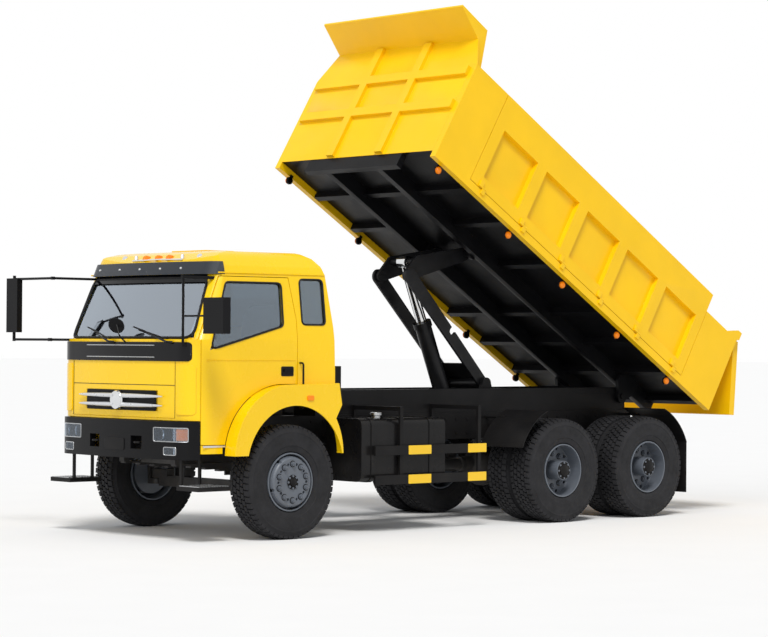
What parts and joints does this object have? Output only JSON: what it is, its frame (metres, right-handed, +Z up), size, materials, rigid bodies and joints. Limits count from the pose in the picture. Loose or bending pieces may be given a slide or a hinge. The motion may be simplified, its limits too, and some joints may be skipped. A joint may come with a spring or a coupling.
{
  "type": "three-axle tipper truck",
  "caption": "Heavy tipping lorry with a hollow cab, a raised load bed on a hoist, drop-down side gates, a top-hung tailgate and twin rear wheels.",
  "frame": {"origin": "on the ground, under the middle of the whole truck as it stands with its bed raised", "axes": "+X forward, +Y to the truck's left, +Z up; the rear wheels stand at negative X"},
  "size_m": [7.7432, 3.16, 5.1545],
  "materials": {
    "frame_black": "dusty semi-gloss black paint",
    "cast_steel": "painted casting, oily and dusty",
    "spring_steel": "painted forged steel, dull",
    "tyre_rubber": "dusty matt rubber",
    "wheel_paint": "grey paint, dusty",
    "cab_paint": "gloss yellow paint",
    "bed_paint": "semi-gloss yellow paint over welded plate",
    "window_glass": "clear safety glass with a grey tint",
    "cab_plastic": "grained grey plastic",
    "black_plastic": "moulded black plastic",
    "lamp_lens": "clear lamp lens over a bright reflector",
    "seat_cloth": "grey woven seat cloth",
    "tank_paint": "black painted sheet",
    "hoist_paint": "black painted plate, greasy",
    "polished_rod": "hard chrome"
  },
  "bodies": {
    "chassis": {"chassis_frame": "frame_black", "hoist_subframe": "frame_black", "front_axle": "cast_steel", "rear_axles": "cast_steel", "leaf_springs": "spring_steel", "propeller_shafts": "spring_steel", "engine_block": "cast_steel", "cab_body": "cab_paint", "cab_roof": "cab_paint", "cab_glass": "window_glass", "grille_panel": "cab_paint", "dashboard": "cab_plastic", "seats": "seat_cloth", "steering_wheel": "black_plastic", "sun_visor": "cab_plastic", "bumper": "black_plastic", "headlamps": "lamp_lens", "mirrors": "black_plastic", "front_fenders": "cab_paint", "cab_steps": "frame_black", "fuel_tank": "tank_paint", "side_guards": "frame_black", "air_tanks": "tank_paint", "air_intake": "black_plastic", "rear_mudguards": "frame_black"},
    "left_steering_knuckle": {"left_knuckle": "cast_steel"},
    "right_steering_knuckle": {"right_knuckle": "cast_steel"},
    "front_left_road_wheel": {"front_left_tyre": "tyre_rubber", "front_left_wheel": "wheel_paint"},
    "front_right_road_wheel": {"front_right_tyre": "tyre_rubber", "front_right_wheel": "wheel_paint"},
    "middle_left_twins": {"middle_left_tyres": "tyre_rubber", "middle_left_wheels": "wheel_paint"},
    "middle_right_twins": {"middle_right_tyres": "tyre_rubber", "middle_right_wheels": "wheel_paint"},
    "rear_left_twins": {"rear_left_tyres": "tyre_rubber", "rear_left_wheels": "wheel_paint"},
    "rear_right_twins": {"rear_right_tyres": "tyre_rubber", "rear_right_wheels": "wheel_paint"},
    "left_cab_door": {"left_door": "cab_paint", "left_door_glass": "window_glass"},
    "right_cab_door": {"right_door": "cab_paint", "right_door_glass": "window_glass"},
    "bed": {"bed_floor": "bed_paint", "bed_front_wall": "bed_paint"},
    "left_gate": {"left_side_gate": "bed_paint"},
    "right_gate": {"right_side_gate": "bed_paint"},
    "tail_gate": {"tailgate": "bed_paint"},
    "hoist_triangle_link": {"hoist_triangle": "hoist_paint"},
    "hoist_pull_arm": {"hoist_arm": "hoist_paint"},
    "cylinder_barrel": {"hoist_barrel": "hoist_paint"},
    "cylinder_rod": {"hoist_rod": "polished_rod"}
  },
  "joints": [
    {"name": "left_steer", "type": "hinge", "parent": "chassis", "child": "left_steering_knuckle", "pos_m": [2.58903, 0.86, 0.5275], "axis": [0, 0, 1], "range_deg": [-35, 35]},
    {"name": "right_steer", "type": "hinge", "parent": "chassis", "child": "right_steering_knuckle", "pos_m": [2.58903, -0.86, 0.5275], "axis": [0, 0, 1], "range_deg": [-35.2, 35.2]},
    {"name": "front_left_spin", "type": "hinge", "parent": "left_steering_knuckle", "child": "front_left_road_wheel", "pos_m": [2.58903, 1.035, 0.5275], "axis": [0, 1, 0], "continuous": true},
    {"name": "front_right_spin", "type": "hinge", "parent": "right_steering_knuckle", "child": "front_right_road_wheel", "pos_m": [2.58903, -1.035, 0.5275], "axis": [0, 1, 0], "continuous": true},
    {"name": "middle_left_spin", "type": "hinge", "parent": "chassis", "child": "middle_left_twins", "pos_m": [-1.03597, 0.894, 0.5275], "axis": [0, 1, 0], "continuous": true},
    {"name": "middle_right_spin", "type": "hinge", "parent": "chassis", "child": "middle_right_twins", "pos_m": [-1.03597, -0.894, 0.5275], "axis": [0, 1, 0], "continuous": true},
    {"name": "rear_left_spin", "type": "hinge", "parent": "chassis", "child": "rear_left_twins", "pos_m": [-2.33597, 0.894, 0.5275], "axis": [0, 1, 0], "continuous": true},
    {"name": "rear_right_spin", "type": "hinge", "parent": "chassis", "child": "rear_right_twins", "pos_m": [-2.33597, -0.894, 0.5275], "axis": [0, 1, 0], "continuous": true},
    {"name": "left_door_hinge", "type": "hinge", "parent": "chassis", "child": "left_cab_door", "pos_m": [3.52903, 1.012, 1.5], "axis": [0, 0, -1], "range_deg": [0, 70]},
    {"name": "right_door_hinge", "type": "hinge", "parent": "chassis", "child": "right_cab_door", "pos_m": [3.52903, -1.012, 1.5], "axis": [0, 0, 1], "range_deg": [0, 70]},
    {"name": "bed_tip", "type": "hinge", "parent": "chassis", "child": "bed", "pos_m": [-2.71097, 0, 1.25], "axis": [0, -1, 0], "range_deg": [-31.4, 13.6]},
    {"name": "left_gate_hinge", "type": "hinge", "parent": "bed", "child": "left_gate", "pos_m": [-2.85685, 1.212, 1.48899], "axis": [-0.8536, 0, -0.521], "range_deg": [0, 170]},
    {"name": "right_gate_hinge", "type": "hinge", "parent": "bed", "child": "right_gate", "pos_m": [-2.85685, -1.212, 1.48899], "axis": [0.8536, 0, 0.521], "range_deg": [0, 170]},
    {"name": "tailgate_hinge", "type": "hinge", "parent": "bed", "child": "tail_gate", "pos_m": [-3.79927, 0, 1.91778], "axis": [0, 1, 0], "range_deg": [-26.77, 60]},
    {"name": "triangle_pivot", "type": "hinge", "parent": "bed", "child": "hoist_triangle_link", "pos_m": [-0.56136, 0, 2.73787], "axis": [0, -1, 0], "range_deg": [-18.56, 42.59]},
    {"name": "pull_arm_pivot", "type": "hinge", "parent": "chassis", "child": "hoist_pull_arm", "pos_m": [-0.80497, 0, 1.4], "axis": [0, -1, 0], "range_deg": [-49.87, 21.72]},
    {"name": "cylinder_pivot", "type": "hinge", "parent": "chassis", "child": "cylinder_barrel", "pos_m": [-0.52097, 0, 1.13], "axis": [0, -1, 0], "range_deg": [-52.32, 22.78]},
    {"name": "rod_slide", "type": "slide", "parent": "cylinder_barrel", "child": "cylinder_rod", "axis": [0.3787, 0, 0.9255], "range_m": [-0.59132, 0.25668]}
  ],
  "couplings": [
    {"joint": "right_steer", "follows": "left_steer", "ratio": 1},
    {"joint": "triangle_pivot", "follows": "bed_tip", "ratio": -1.35},
    {"joint": "pull_arm_pivot", "follows": "bed_tip", "ratio": 1.582},
    {"joint": "cylinder_pivot", "follows": "bed_tip", "ratio": 1.66},
    {"joint": "rod_slide", "follows": "bed_tip", "m_per_rad": 1.0772}
  ]
}
